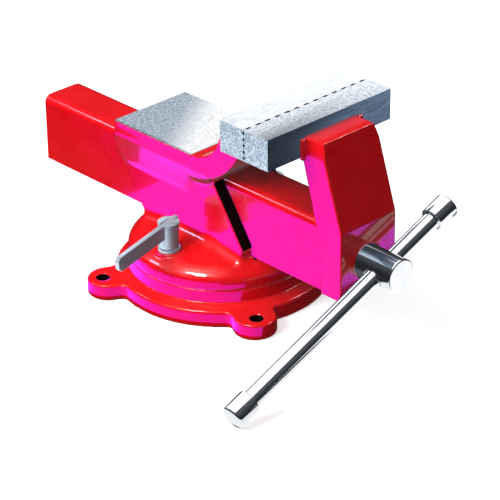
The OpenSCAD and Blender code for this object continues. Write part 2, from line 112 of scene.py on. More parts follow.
glow_pink = (0.85, 0.03, 1.0)
key_lamp = soft_lamp("key_lamp", (-1.25, 0.25, 1.05), (0, 0, 0.08), (1.1, 0.9), 31, (1.0, 0.98, 0.98))
top_lamp = soft_lamp("top_lamp", (-0.1, 0.1, 1.5), (0, 0, 0.1), (0.9, 0.9), 11)
front_lamp = soft_lamp("front_lamp", (-0.2, -1.6, 0.3), (0, 0, 0.1), (0.9, 0.5), 3)
for lamp in (key_lamp, top_lamp, front_lamp):
    lamp.visible_glossy = False
low_card("side_glow", -0.20, 0.015, (0.30, 0.27), 1.15, glow_pink, painted)
low_card("rear_glow", -0.26, 0.205, (0.21, 0.11), 0.33, glow_pink, painted)
low_card("front_glow", 0.12, -0.27, (0.20, 0.09), 0.22, (0.75, 0.10, 1.0), painted)
soft_lamp("dome_streak", (-0.66, 0.03, 1.25), (0, 0, 0.05), (0.42, 0.16), 13, (1, 0.95, 0.95), painted)
soft_lamp("side_edges", (-0.63, 0.90, 0.85), (0, 0, 0.1), (0.30, 0.20), 4, (1, 0.55, 0.80), painted)
soft_lamp("front_edges", (0.85, -0.63, 0.87), (0, 0, 0.1), (0.30, 0.25), 5, (1, 0.85, 0.9), painted)
low_card("side_card", -0.25, 0.12, (0.36, 0.36), 0.62, (0.93, 0.97, 1.0), steel)
low_card("front_steel", 0.36, -0.33, (0.26, 0.22), 0.16, (0.80, 0.90, 1.0), steel)
soft_lamp("steel_lamp", (0.9, 0.96, 0.75), (0, 0, 0.1), (1.3, 0.9), 5.6, (1, 1, 1), steel)
soft_lamp("steel_sky", (-0.3, -0.2, 1.4), (0, 0, 0.1), (1.0, 1.0), 3.0, (1, 1, 1), steel)
for i, (side_x, side_y) in enumerate([(-1, -1), (-1, 1), (1, -1)]):
    soft_lamp(f"steel_lamp_{i}", (0.9 * side_x, 0.96 * side_y, 0.75), (0, 0, 0.1), (1.3, 0.9), 2.6,
              (1, 1, 1), steel)
low_card("front_card", 0.14, -0.34, (0.30, 0.26), 0.28, (1.0, 1.0, 1.0), polished)
soft_lamp("bar_sky", (0.0, -0.1, 1.2), (0, -0.17, 0.07), (1.8, 1.3), 9.5, (1, 1, 1), polished)
soft_lamp("bar_rear", (0.3, 1.2, 0.6), (0, -0.17, 0.07), (1.4, 0.7), 3.2, (1, 1, 1), polished)
soft_lamp("head_sky", (0.07, 0.77, 0.88), (0, -0.17, 0.07), (1.5, 0.6), 4.0, (1, 1, 1), polished)
low_card("bar_under", 0.0, -0.17, (0.34, 0.10), 0.10, (1, 1, 1), polished)
floor.visible_diffuse = False
floor.visible_glossy = False

room = bpy.data.worlds.new("room")
room.use_nodes = True
bpy.context.scene.world = room
room_nodes = room.node_tree.nodes
room_links = room.node_tree.links
direction = room_nodes.new("ShaderNodeTexCoord")
height = room_nodes.new("ShaderNodeSeparateXYZ")
level = room_nodes.new("ShaderNodeMapRange")
shades = room_nodes.new("ShaderNodeValToRGB")
level.inputs["From Min"].default_value = -1
room_links.new(direction.outputs["Generated"], height.inputs[0])
room_links.new(height.outputs["Z"], level.inputs["Value"])
room_links.new(level.outputs["Result"], shades.inputs["Fac"])
room_links.new(shades.outputs["Color"], room_nodes["Background"].inputs["Color"])
room_bands = [(0.0, 0.16), (0.19, 0.13), (0.24, 0.03), (0.53, 0.03), (0.72, 0.08), (0.80, 0.11),
              (0.90, 0.14), (1.0, 0.16)]
for i, (position, grey) in enumerate(room_bands):
    ends = shades.color_ramp.elements
    shade = ends[0] if i == 0 else ends.new(position) if position < 1 else ends[-1]
    shade.position = position
    shade.color = (grey * 0.92, grey * 0.97, grey * 1.1, 1)
room_nodes["Background"].inputs["Strength"].default_value = 0.8

view_turn = math.radians(-43.46)
view_height = math.radians(28.07)
view_roll = math.radians(-0.67)
view_distance = 1.9073
aim_right, aim_up = 0.0210, 0.0187  # where the view's centre passes the origin
lens = bpy.data.cameras.new("camera")
lens.lens = 176.9
lens.sensor_width = 36
camera = added("camera", lens)
bpy.context.scene.camera = camera
back = Vector((math.sin(view_turn) * math.cos(view_height),
               -math.cos(view_turn) * math.cos(view_height), math.sin(view_height)))
right = Vector((math.cos(view_turn), math.sin(view_turn), 0))
up = back.cross(right)
camera.location = right * aim_right + up * aim_up + back * view_distance
upright = Matrix((right, up, back)).transposed()
camera.rotation_euler = (upright @ Matrix.Rotation(view_roll, 3, "Z")).to_euler()
bpy.context.scene.view_settings.view_transform = "Standard"


# ---------------------------------------------------------------- swivel base
# A round grey-iron casting with four ears for the bench bolts and a ring-shaped T-slot
# under the turntable. It is sand cast, turned on top, drilled, and painted in red enamel.
base_r = 82.7
flange_t = 13.0
base_h = 25.5
skirt_r = 72.8
ear_pcd = 190.0
ear_r = 16.5
ear_hole_d = 10.5
ear_reach = ear_pcd / 2 - 4.5
first_ear = math.radians(62)
lock_r = 55.0
slot_neck, slot_wide = 10.8, 19.0
slot_low, slot_lip = 8.5, 17.0
entry_turn, entry_r = math.radians(17), 11.8  # where a lock bolt's head goes in from below
relief_r, relief_half, relief_top = 32.7, 7.8, 12
pivot_d = 16.0
pivot_recess_r, pivot_recess_h = 18.9, 17.5


def joined(a, b, r):
    """Both solids, with a fillet of radius r where they meet."""
    return np.maximum(r, np.minimum(a, b)) - np.hypot(np.maximum(r - a, 0), np.maximum(r - b, 0))


def shared(a, b, r):
    """What both solids hold, with the edge between them rounded to radius r."""
    return np.minimum(-r, np.maximum(a, b)) + np.hypot(np.maximum(r + a, 0), np.maximum(r + b, 0))


def cut(a, b, r):
    """Solid a without solid b, with a rounded rim."""
    return shared(a, -b, r)


def between(v, low, high):
    """Signed distance to the slab from low to high."""
    return np.maximum(low - v, v - high)


def block(x, y, z, low, high):
    """Signed distance to a square block, from its two corners."""
    parts = [between(v, lo, hi) for v, lo, hi in zip((x, y, z), low, high)]
    outside = np.sqrt(sum(np.maximum(p, 0) ** 2 for p in parts))
    return outside + np.minimum(np.maximum(np.maximum(parts[0], parts[1]), parts[2]), 0)


def bend(centre_u, centre_v, r, first, last, steps=8):
    """Points along an arc, its angles in degrees."""
    turns = [math.radians(first + (last - first) * i / steps) for i in range(steps + 1)]
    return [(centre_u + r * math.cos(t), centre_v + r * math.sin(t)) for t in turns]


def inside_of(outline, u, v):
    """Signed distance to a closed outline of (u, v) points."""
    nearest, sign = 1e9, 1.0
    for (u0, v0), (u1, v1) in zip(outline, outline[1:] + outline[:1]):
        du, dv = u1 - u0, v1 - v0
        pu, pv = u - u0, v - v0
        along = np.clip((pu * du + pv * dv) / (du * du + dv * dv + 1e-12), 0, 1)
        nearest = np.minimum(nearest, (pu - du * along) ** 2 + (pv - dv * along) ** 2)
        above, below, left = v >= v0, v < v1, du * pv > dv * pu
        crossed = (above & below & left) | (~above & ~below & ~left)
        sign = np.where(crossed, -sign, sign)
    return sign * np.sqrt(nearest)


def to_ear(x, y):
    """A point as (out along the nearest ear, aside from it)."""
    quarter = math.pi / 2
    rho = np.hypot(x, y)
    turn = np.mod(np.arctan2(y, x) - first_ear + quarter / 2, quarter) - quarter / 2
    return rho * np.cos(turn), rho * np.sin(turn)


def swivel_base(x, y, z):
    rho = np.hypot(x, y)
    ear_x, ear_y = to_ear(x, y)
    plan = joined(rho - base_r, np.hypot(ear_x - ear_reach, ear_y) - ear_r, 8)
    flange = shared(plan, between(z, 0, flange_t), 2.0)
    shoulder = inside_of([(0, 0), (base_r, 0), (base_r, flange_t - 2), (base_r - 1, flange_t - 0.3),
                          (skirt_r + 2, flange_t + 2.2), (skirt_r, flange_t + 2.6), (skirt_r, base_h),
                          (0, base_h)], rho, z)
    skirt = shared(rho - skirt_r, between(z, 0, base_h), 1.2)
    solid = joined(joined(flange, skirt, 4.0), shoulder, 0.8)
    solid = cut(solid, np.hypot(ear_x - ear_pcd / 2, ear_y) - ear_hole_d / 2, 0.7)
    neck = np.maximum(np.abs(rho - lock_r) - slot_neck / 2, slot_lip - 1 - z)
    chamber = np.maximum(np.abs(rho - lock_r) - slot_wide / 2, np.abs(z - (slot_low + slot_lip) / 2)
                         - (slot_lip - slot_low) / 2)
    entry_x, entry_y = -lock_r * math.sin(entry_turn), lock_r * math.cos(entry_turn)
    entry = np.maximum(np.hypot(x - entry_x, y - entry_y) - entry_r, z - slot_low - 1)
    solid = cut(solid, np.minimum(np.minimum(neck, chamber), entry), 0.5)
    relief = np.maximum(np.abs(rho - relief_r) - relief_half, z - relief_top)
    recess = np.maximum(rho - pivot_recess_r, z - pivot_recess_h)
    solid = cut(solid, np.minimum(relief, recess), 1.0)
    return cut(solid, rho - pivot_d / 2 - 0.1, 0.5)


def slope_of(shape, p):
    """The distance at each point of p, and its slope there."""
    reach = 0.05
    here = shape(*p.T)
    slope = np.empty_like(p)
    for axis in range(3):
        step = np.zeros(3)
        step[axis] = reach
        slope[:, axis] = (shape(*(p + step).T) - shape(*(p - step).T)) / (2 * reach)
    return here, slope


def skin(shape, low, high, step):
    """Vertices and four-sided faces over the solid that shape(x, y, z) describes, in mm."""
    axes = [np.arange(lo - 1.5 * step, hi + 2.5 * step, step) for lo, hi in zip(low, high)]
    x, y, z = np.meshgrid(*axes, indexing="ij", sparse=True)
    d = shape(x, y, z) + 0 * (x + y + z)
    solid = d < 0
    size = np.array(d.shape) - 1
    corners = [(i, j, k) for i in (0, 1) for j in (0, 1) for k in (0, 1)]
    pieces = [slice(0, -1), slice(1, None)]
    filled = sum(solid[pieces[i], pieces[j], pieces[k]].astype(np.int8) for i, j, k in corners)
    cells = np.argwhere((filled > 0) & (filled < 8))
    number = np.full(size, -1)
    number[tuple(cells.T)] = np.arange(len(cells))
    at = [d[tuple((cells + np.array(c)).T)] for c in corners]
    total = np.zeros((len(cells), 3))
    count = np.zeros(len(cells))
    for i, a in enumerate(corners):
        for j, b in enumerate(corners):
            if i < j and sum(m != n for m, n in zip(a, b)) == 1:
                crossing = (at[i] < 0) != (at[j] < 0)
                share = np.where(crossing, at[i] / np.where(crossing, at[i] - at[j], 1), 0)[:, None]
                point = np.array(a) + share * (np.array(b) - np.array(a))
                total += np.where(crossing[:, None], point, 0)
                count += crossing
    origin = np.array([a[0] for a in axes])
    points = origin + (cells + total / count[:, None]) * step
    for _ in range(3):
        off, slope = slope_of(shape, points)
        move = slope * (off / np.maximum((slope ** 2).sum(1), 0.2))[:, None]
        points -= np.clip(move, -step / 2, step / 2)
    points = np.clip(points, low, high)
    faces = []
    for axis in range(3):
        first, second = (axis + 1) % 3, (axis + 2) % 3
        change = np.diff(solid.astype(np.int8), axis=axis)
        edges = np.argwhere(change != 0)
        enters = change[tuple(edges.T)] > 0
        ring = []
        for shift_first, shift_second in ((-1, -1), (0, -1), (0, 0), (-1, 0)):
            cell = edges.copy()
            cell[:, first] += shift_first
            cell[:, second] += shift_second
            ring.append(number[tuple(cell.T)])
        ring = np.stack(ring, 1)
        ring[enters] = ring[enters][:, ::-1]
        faces.append(ring)
    return points, np.concatenate(faces)


def solid_piece(name, shape, low, high, step, finish, body, slot, nodes, black_shade_mask=None):
    """A piece skinned over its signed distance, with flat areas joined into single faces."""
    points, faces = skin(shape, low, high, step)
    mesh = bpy.data.meshes.new(name)
    mesh.from_pydata(points, [], faces.tolist())
    work = bmesh.new()
    work.from_mesh(mesh)
    bmesh.ops.dissolve_limit(work, angle_limit=math.radians(0.35), verts=work.verts, edges=work.edges)
    work.to_mesh(mesh)
    work.free()
    points = np.empty(len(mesh.vertices) * 3, np.float32)
    mesh.vertices.foreach_get("co", points)
    points = points.reshape(-1, 3).astype(float)
    slope = slope_of(shape, points)[1]
    slope /= np.maximum(np.linalg.norm(slope, axis=1, keepdims=True), 1e-6)
    # hollow and ridge say how enclosed and how sharp-edged each point is; the red enamel darkens hollow
    # points as painted shade.
    reach = 3.0
    hollow = 1 - shape(*(points + slope * reach).T) / reach
    ridge = 1 + shape(*(points - slope * reach).T) / reach
    # Where this mask is high, the enamel is painted near black as painted shade.
    bare = black_shade_mask(points, slope) if black_shade_mask else np.zeros(len(points))
    for label, values in (("hollow", hollow), ("ridge", ridge), ("black_shade_mask", bare)):
        layer = mesh.attributes.new(label, "FLOAT", "POINT")
        layer.data.foreach_set("value", np.clip(values, 0, 1).astype(np.float32))
    mesh.materials.append(finish)
    mesh.polygons.foreach_set("use_smooth", [True] * len(mesh.polygons))
    mesh.transform(Matrix.Scale(MM, 4))
    mesh.normals_split_custom_set_from_vertices(slope)
    piece = added(name, mesh)
    {"red_enamel": painted, "bright_chrome": polished}.get(slot, steel).objects.link(piece)
    piece.visible_glossy = slot != "red_enamel"
    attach(piece, body)
    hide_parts(*nodes)
    return piece


class Finish:
    """A material with short ways to make and join its nodes. Lengths are in metres."""

    def __init__(self, name, roughness, metallic=0.0):
        self.material = bpy.data.materials.new(name)
        self.material.use_nodes = True
        self.nodes = self.material.node_tree.nodes
        self.links = self.material.node_tree.links
        self.shader = self.nodes["Principled BSDF"]
        self.shader.inputs["Metallic"].default_value = metallic
        self.shader.inputs["Roughness"].default_value = roughness
        self.place = self.nodes.new("ShaderNodeTexCoord").outputs["Object"]
        self.normal = None

    def stretched(self, x, y, z):
        """The object's coordinates, scaled along each axis."""
        node = self.nodes.new("ShaderNodeMapping")
        node.inputs["Scale"].default_value = (x, y, z)
        self.links.new(self.place, node.inputs["Vector"])
        return node.outputs["Vector"]

    def noise(self, size, detail=2.0, rough=0.5, where=None):
        """Cloudy noise whose blotches are about size across."""
        node = self.nodes.new("ShaderNodeTexNoise")
        node.inputs["Scale"].default_value = 1 / size
        node.inputs["Detail"].default_value = detail
        node.inputs["Roughness"].default_value = rough
        self.links.new(where or self.place, node.inputs["Vector"])
        return node.outputs["Fac"]

    def marked(self, label):
        """A value held on the mesh's points."""
        node = self.nodes.new("ShaderNodeAttribute")
        node.attribute_name = label
        return node.outputs["Fac"]

    def ranged(self, value, low, high, out_low=0.0, out_high=1.0):
        """Value, taken from low..high to out_low..out_high."""
        node = self.nodes.new("ShaderNodeMapRange")
        node.interpolation_type = "SMOOTHSTEP"
        for socket, number in zip(node.inputs[1:5], (low, high, out_low, out_high)):
            socket.default_value = number
        self.links.new(value, node.inputs[0])
        return node.outputs[0]

    def sum(self, operation, a, b):
        """Two values, or a value and a plain number, put together."""
        node = self.nodes.new("ShaderNodeMath")
        node.operation = operation
        self.links.new(a, node.inputs[0])
        if isinstance(b, (int, float)):
            node.inputs[1].default_value = b
        else:
            self.links.new(b, node.inputs[1])
        return node.outputs[0]

    def mixed(self, share, a, b):
        """Colour a where share is 0, and b where it is 1."""
        node = self.nodes.new("ShaderNodeMix")
        node.data_type = "RGBA"
        self.links.new(share, node.inputs[0])
        for socket, colour in zip(node.inputs[6:8], (a, b)):
            if isinstance(colour, tuple):
                socket.default_value = (*colour, 1)
            else:
                self.links.new(colour, socket)
        return node.outputs[2]

    def bump(self, value, height):
        """Adds relief of that height, in metres."""
        node = self.nodes.new("ShaderNodeBump")
        node.inputs["Strength"].default_value = 1.0
        node.inputs["Distance"].default_value = height
        self.links.new(value, node.inputs["Height"])
        if self.normal:
            self.links.new(self.normal, node.inputs["Normal"])
        self.normal = node.outputs["Normal"]
        self.links.new(self.normal, self.shader.inputs["Normal"])

    def into(self, socket, value):
        self.links.new(value, self.shader.inputs[socket])


def red_enamel():
    """Thick glossy enamel over sand-cast iron: soft waves, orange peel, painted shade in its hollows and
    corners, and black painted shade on the tunnel's mouth and walls and in the ears' bolt holes."""
    red = Finish("red_enamel", 0.3)
    red.shader.inputs["IOR"].default_value = 1.45
    red.shader.inputs["Coat Roughness"].default_value = 0.05
    depth = red.noise(0.03, 3.0)
    colour = red.mixed(red.ranged(depth, 0.3, 0.7), (0.86, 0.003, 0.006), (0.78, 0.001, 0.004))
    # Painted shade: the enamel turns dark red where the hollow mark is high, in creases and corners.
    crease_shade = red.sum("MULTIPLY", red.ranged(red.marked("hollow"), 0.25, 0.95), 0.6)
    colour = red.mixed(crease_shade, colour, (0.12, 0.001, 0.003))
    thin = red.sum("MULTIPLY", red.ranged(red.marked("ridge"), 0.3, 0.9), red.noise(0.004, 4.0))
    colour = red.mixed(red.sum("MULTIPLY", thin, 0.3), colour, (0.92, 0.06, 0.05))
    # Painted shade: near black, without coat or gloss, on the tunnel's mouth and walls and in the ears'
    # bolt holes.
    black_shade = red.ranged(red.marked("black_shade_mask"), 0.55, 0.72)
    red.into("Base Color", red.mixed(black_shade, colour, (0.008, 0.004, 0.006)))
    red.into("Coat Weight", red.ranged(red.marked("black_shade_mask"), 0.55, 0.72, 0.85, 0.0))
    red.into("Specular IOR Level", red.ranged(red.marked("black_shade_mask"), 0.55, 0.72, 0.5, 0.0))
    red.into("Roughness", red.ranged(red.noise(0.012, 4.0), 0.25, 0.75, 0.24, 0.36))
    red.bump(red.noise(0.018, 2.0), 0.00006)
    red.bump(red.noise(0.0022, 1.0), 0.000007)
    return red.material


def bolt_holes(points, slope):
    """Near 1 on the walls of the ears' bolt holes, which the enamel paints near black as painted shade."""
    ear_x, ear_y = to_ear(points[:, 0], points[:, 1])
    away = np.hypot(ear_x - ear_pcd / 2, ear_y)
    return np.where(away < ear_hole_d / 2 + 1.0, 1 - np.abs(slope[:, 2]), 0)


enamel = red_enamel()
solid_piece("swivel_base_casting", swivel_base, (-112, -112, 0), (112, 112, base_h), 1.25,
            enamel, "base", "red_enamel", ["swivel_base"], bolt_holes)


# ---------------------------------------------------------------- pivot bolt, washer and nut
# A black-oxide hexagon bolt holds the turntable down on the base. Its head lies in a pit in
# the body, and its nut and wide washer sit in the recess under the base.
floor_z = 42.65
pivot_head_h, pivot_head_af = 6.0, 22.4
pivot_head_z = floor_z - pivot_head_h - 0.7
pivot_nut_h, pivot_nut_af = 12.0, 24.0
pivot_washer_t = 2.2
pivot_nut_z = pivot_recess_h - 0.3 - pivot_washer_t - pivot_nut_h


def hexagon(x, y, across_flats):
    """Signed distance to an upright hexagonal bar."""
    turned = [x * math.cos(a) + y * math.sin(a) for a in (math.pi / 6, math.pi / 2, 5 * math.pi / 6)]
    widest = np.maximum(np.maximum(np.abs(turned[0]), np.abs(turned[1])), np.abs(turned[2]))
    return widest - across_flats / 2


def chamfered_hexagon(x, y, z, across_flats, low, high):
    """A turned hexagon: a cone takes its corners off at both ends."""
    rho = np.hypot(x, y)
    reach = across_flats / math.sqrt(3)
    cone = (rho - reach + 0.6 * (np.abs(z - (low + high) / 2) - (high - low) / 2 + 2.6)) / 1.17
    return shared(np.maximum(hexagon(x, y, across_flats), cone), between(z, low, high), 0.25)


def pivot_bolt(x, y, z):
    head = chamfered_hexagon(x, y, z, pivot_head_af, pivot_head_z, pivot_head_z + pivot_head_h)
    shank = shared(np.hypot(x, y) - pivot_d / 2, np.maximum(1.5 - z, z - pivot_head_z - 1), 0.8)
    return joined(head, shank, 0.3)


def pivot_nut(x, y, z):
    body = chamfered_hexagon(x, y, z, pivot_nut_af, pivot_nut_z, pivot_nut_z + pivot_nut_h)
    return cut(body, np.hypot(x, y) - pivot_d / 2 - 0.05, 0.6)


def black_oxide():
    """Oiled black oxide on steel, rubbed bright on its edges."""
    black = Finish("black_oxide", 0.42, 1.0)
    rub = black.sum("MULTIPLY", black.ranged(black.marked("ridge"), 0.3, 0.9), black.noise(0.003, 4.0))
    stain = black.mixed(black.noise(0.006, 4.0), (0.10, 0.10, 0.11), (0.19, 0.185, 0.19))
    black.into("Base Color", black.mixed(rub, stain, (0.46, 0.46, 0.47)))
    black.into("Roughness", black.ranged(black.noise(0.002, 4.0), 0.3, 0.7, 0.30, 0.55))
    black.bump(black.noise(0.0012, 3.0), 0.00002)
    return black.material


def zinc_plate():
    """Dull zinc: blue-grey, faintly spangled and lightly scratched."""
    zinc = Finish("zinc_plate", 0.4, 0.6)
    spangle = zinc.nodes.new("ShaderNodeTexVoronoi")
    spangle.inputs["Scale"].default_value = 900
    zinc.links.new(zinc.place, spangle.inputs["Vector"])
    fleck = zinc.ranged(spangle.outputs["Distance"], 0.0, 0.9)
    cloud = zinc.mixed(zinc.noise(0.004, 4.0), (0.40, 0.50, 0.62), (0.60, 0.69, 0.78))
    zinc.into("Base Color", zinc.mixed(zinc.sum("MULTIPLY", fleck, 0.4), cloud, (0.72, 0.79, 0.86)))
    zinc.into("Roughness", zinc.ranged(zinc.noise(0.0025, 4.0), 0.3, 0.7, 0.28, 0.44))
    zinc.bump(zinc.noise(0.0010, 3.0), 0.00002)
    return zinc.material


oxide = black_oxide()
zinc = zinc_plate()
solid_piece("pivot_bolt_forged", pivot_bolt, (-13, -13, 1.5), (13, 13, 43), 0.8,
            oxide, "body", "dark_steel", ["pivot_bolt"])
solid_piece("pivot_nut_chamfered", pivot_nut, (-14, -14, 0), (14, 14, 16), 0.8,
            oxide, "body", "dark_steel", ["pivot_nut"])


# ---------------------------------------------------------------- body with fixed jaw and anvil
# One iron casting: a round turntable that rises into a housing round the slide, with the
# anvil and the fixed jaw's neck on top. Only the anvil's face is machined bare.
turntable_z = base_h + 0.3
housing_half = 30.35
anvil_half = 36.85
tunnel_half, tunnel_top = 19.85, 99.35
anvil_top = 118.35
anvil_front, anvil_rear = -6.85, 80.0
scoop_r = 32.0
wing_z, wing_low, wing_slope = 106.0, 86.0, 0.45  # the wings lean in below wing_z, down to wing_low
under_r, under_y = 65.0, 0.15
under_z = tunnel_top - 1 + under_r
fixed_back = -66.85
neck_rear = anvil_front - scoop_r
casting_top = 166.0
seat_bottom = 149.0
lock_pad_z = 43.0
lock_pad_r = 10.1
jaw_screw_x, jaw_screw_z, jaw_screw_grip, jaw_hole_r = 18.0, 159.0, 11.0, 4.05
pit_r = 14.9  # the pit that the pivot bolt's head lies in
pocket_inner_r, pocket_outer_r, pocket_top = 12.9, 41, 31.9  # the ring-shaped hollow underneath
lock_hole_r, nut_hole_r, nut_bolt_y = 5.1, 4.1, 20.9
tunnel_middle = 60  # holes from below stop here, in the open tunnel
mouth_low, mouth_high = (-54.35, 53.0), (-22.35, 100.5)


def rounded(corners):
    """An outline from (u, v, radius) corners, each corner turned into an arc."""
    points = []
    for i, (u, v, r) in enumerate(corners):
        here = Vector((u, v))
        before = Vector(corners[i - 1][:2]) - here
        after = Vector(corners[(i + 1) % len(corners)][:2]) - here
        if r == 0:
            points.append((u, v))
            continue
        before.normalize()
        after.normalize()
        half = before.angle(after) / 2
        start, end = here + before * (r / math.tan(half)), here + after * (r / math.tan(half))
        middle = here + (before + after).normalized() * (r / math.sin(half))
        a0 = math.atan2(start.y - middle.y, start.x - middle.x)
        a1 = math.atan2(end.y - middle.y, end.x - middle.x)
        sweep = (a1 - a0 + math.pi) % (2 * math.pi) - math.pi
        steps = max(2, int(abs(sweep) / math.radians(12)))
        for k in range(steps + 1):
            a = a0 + sweep * k / steps
            points.append((middle.x + r * math.cos(a), middle.y + r * math.sin(a)))
    return points


dome_side = rounded([
    (0, turntable_z, 0), (skirt_r, turntable_z, 0.8), (skirt_r, turntable_z + 9.0, 9.0),
    (63.6, 41.4, 12.0), (36.4, 45.7, 0), (0, 45.7, 0)])
housing_side = rounded([
    (-51.85, 36, 0), (-51.85, 45, 0), (*mouth_low, 2.0), (*mouth_high, 2.0), (-22.35, 108.85, 0),
    (anvil_rear, 108.85, 3), (82, 90, 8), (71, 67, 12), (64, 56, 10), (55, 45, 0), (55, 36, 0)])
under_turn = 180 + math.degrees(math.asin((under_z - seat_bottom) / under_r))
anvil_side = (
    bend(under_y, under_z, under_r, under_turn, 270, 24)
    + [(8, wing_low), (83, wing_low), (anvil_rear, anvil_top)]
    + bend(anvil_front, anvil_top + scoop_r, scoop_r, 270, 180, 20)
    + [(neck_rear, casting_top - 13), (neck_rear - 16.4, casting_top), (fixed_back, casting_top),
       (fixed_back, seat_bottom)])


def vise_body(x, y, z):
    rho = np.hypot(x, y)
    aside = np.abs(x)
    dome = inside_of(dome_side, rho, z)
    pads = shared(np.hypot(aside - lock_r, y) - lock_pad_r, between(z, 30, lock_pad_z), 0.6)
    housing = shared(inside_of(housing_side, y, z), aside - housing_half, 1.6)
    wing = np.maximum(aside - anvil_half, (aside - anvil_half + (wing_z - z) * wing_slope) * 0.88)
    top = shared(inside_of(anvil_side, y, z), wing, 0.9)
    solid = joined(joined(housing, top, 9.0), joined(dome, pads, 1.5), 8.0)
    spot = np.maximum(np.hypot(aside - lock_r, y) - lock_pad_r, lock_pad_z - z)
    solid = cut(solid, spot, 0.5)
    tunnel = block(x, y, z, (-tunnel_half, -400, floor_z), (tunnel_half, 400, tunnel_top))
    solid = cut(solid, tunnel, 1.2)
    solid = cut(solid, np.maximum(rho - pit_r, between(z, pivot_head_z, tunnel_middle)), 0.6)
    pocket = np.maximum(between(rho, pocket_inner_r, pocket_outer_r), z - pocket_top)
    bore = np.maximum(rho - pivot_d / 2 - 0.1, z - tunnel_middle)
    solid = cut(solid, np.minimum(pocket, bore), 0.6)
    bolts = np.minimum(np.hypot(aside - lock_r, y) - lock_hole_r,
                       np.hypot(x, np.abs(y) - nut_bolt_y) - nut_hole_r)
    solid = cut(solid, np.maximum(bolts, z - tunnel_middle), 0.4)
    screws = np.maximum(np.hypot(aside - jaw_screw_x, z - jaw_screw_z) - jaw_hole_r,
                        y - fixed_back - jaw_screw_grip)
    return cut(solid, screws, 0.3)


def casting(x, y, z):
    """The painted iron: all but the skin that the cutter leaves bare on the anvil."""
    return np.maximum(vise_body(x, y, z), -anvil_skin(x, y, z))


def anvil_skin(x, y, z):
    return block(x, y, z, (-60, anvil_front - 0.2, anvil_top - 0.9), (60, anvil_rear + 9, anvil_top + 9))


def anvil_face(x, y, z):
    return np.maximum(vise_body(x, y, z), anvil_skin(x, y, z))


def machined_steel():
    """Milled steel, blue-grey, with mottled marks from the cutter and a painted highlight, near white,
    over its front.
    """
    steel = Finish("machined_steel", 0.38, 1.0)
    marks = steel.noise(0.0015, 3.0, where=steel.stretched(1.0, 0.45, 1.0))
    shade = steel.mixed(steel.ranged(marks, 0.35, 0.65), (0.15, 0.21, 0.29), (0.60, 0.67, 0.74))
    # Painted highlight: rubbed is near 1 in front of a slanting line across the face, where the colour
    # turns near white.
    along = steel.nodes.new("ShaderNodeSeparateXYZ")
    steel.links.new(steel.place, along.inputs[0])
    skew = steel.sum("SUBTRACT", along.outputs["Y"], steel.sum("MULTIPLY", along.outputs["X"], 0.62))
    highlight_reach = steel.sum("ADD", skew, steel.sum("MULTIPLY", steel.noise(0.004, 4.0), 0.016))
    rubbed = steel.ranged(highlight_reach, 0.024, 0.062, 1.0, 0.0)
    steel.into("Base Color", steel.mixed(rubbed, shade, (0.90, 0.91, 0.92)))
    steel.into("Roughness", steel.ranged(marks, 0.3, 0.7, 0.34, 0.55))
    steel.bump(marks, 0.00004)
    return steel.material


def mouth_and_tunnel(points, slope):
    """Near 1 on the tunnel's walls and its slanting front rim, which the enamel paints near black as
    painted shade.
    """
    x, y, z = points.T
    (y0, z0), (y1, z1) = mouth_low, mouth_high
    run = math.hypot(y1 - y0, z1 - z0)
    ahead = ((z - z0) * (y1 - y0) - (y - y0) * (z1 - z0)) / run
    facing = slope[:, 1] * (z0 - z1) / run + slope[:, 2] * (y1 - y0) / run
    on_rim = (np.abs(ahead) < 2.0) & (z > z0 - 3) & (z < z1 + 9) & (np.abs(x) < housing_half + 0.1)
    in_tunnel = (np.abs(x) < tunnel_half + 0.7) & (z > floor_z - 0.7) & (z < tunnel_top + 0.7)
    rim = np.where(on_rim, facing, 0)
    return np.where(in_tunnel, np.hypot(1 - np.abs(slope[:, 1]), rim), rim)


bare = machined_steel()
solid_piece("vise_body_casting", casting, (-73, -73, 25), (73, 84, casting_top), 1.2,
            enamel, "body", "red_enamel", ["vise_body"], mouth_and_tunnel)
solid_piece("vise_body_anvil_face", anvil_face, (-38, anvil_front - 1, anvil_top - 1),
            (38, anvil_rear + 1, anvil_top), 0.8, bare, "body", "ground_steel", ["vise_body"])


# ---------------------------------------------------------------- screw nut and its bolts
# A cast bronze block, bored and threaded for the screw, stands in the tunnel. Two black
# bolts come up through the turntable's floor and hold it.
def cast_bronze():
    """Warm cast bronze with brown stain and a fine sandy grain."""
    bronze = Finish("cast_bronze", 0.4, 1.0)
    stain = bronze.ranged(bronze.noise(0.008, 4.0), 0.35, 0.7)
    bronze.into("Base Color", bronze.mixed(stain, (0.60, 0.38, 0.15), (0.30, 0.17, 0.07)))
    bronze.into("Roughness", bronze.ranged(bronze.noise(0.002, 3.0), 0.3, 0.7, 0.28, 0.5))
    bronze.bump(bronze.noise(0.0008, 3.0), 0.00002)
    return bronze.material


def repaint(name, finish):
    """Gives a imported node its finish."""
    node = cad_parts[name]
    node.data.materials.clear()
    node.data.materials.append(finish)
    node.visible_glossy = False
    steel.objects.link(node)


bronze = cast_bronze()
repaint("screw_nut", bronze)
repaint("pivot_washer", zinc)
for name in ("nut_bolts", "lock_bolt_left", "lock_bolt_right"):
    repaint(name, oxide)


# ---------------------------------------------------------------- swivel lock levers
# Two zinc-plated clamp nuts on T-bolts. Each is a turned hub with a rolled rim and a slot
# across its top, and a flat steel arm is pressed into the slot and droops towards its end.
lock_washer_t = 2.5
hub_r, hub_h = 7.6, 21.5
rim_r, rim_h = 8.5, 2.4
hub_low = lock_pad_z + lock_washer_t
hub_top = hub_low + hub_h
arm_length, arm_stub, arm_h, arm_t = 60.5, 9.5, 12.0, 4.0
arm_droop = math.radians(6.5)
arm_chamfer = 2.5


def along_arm(x, y, z, turn):
    """A point as (along, beside, above) the drooping arm, from the top of its hub."""
    flat = x * math.cos(turn) + y * math.sin(turn)
    beside = -x * math.sin(turn) + y * math.cos(turn)
    above = z - hub_top
    return (flat * math.cos(arm_droop) - above * math.sin(arm_droop), beside,
            flat * math.sin(arm_droop) + above * math.cos(arm_droop))


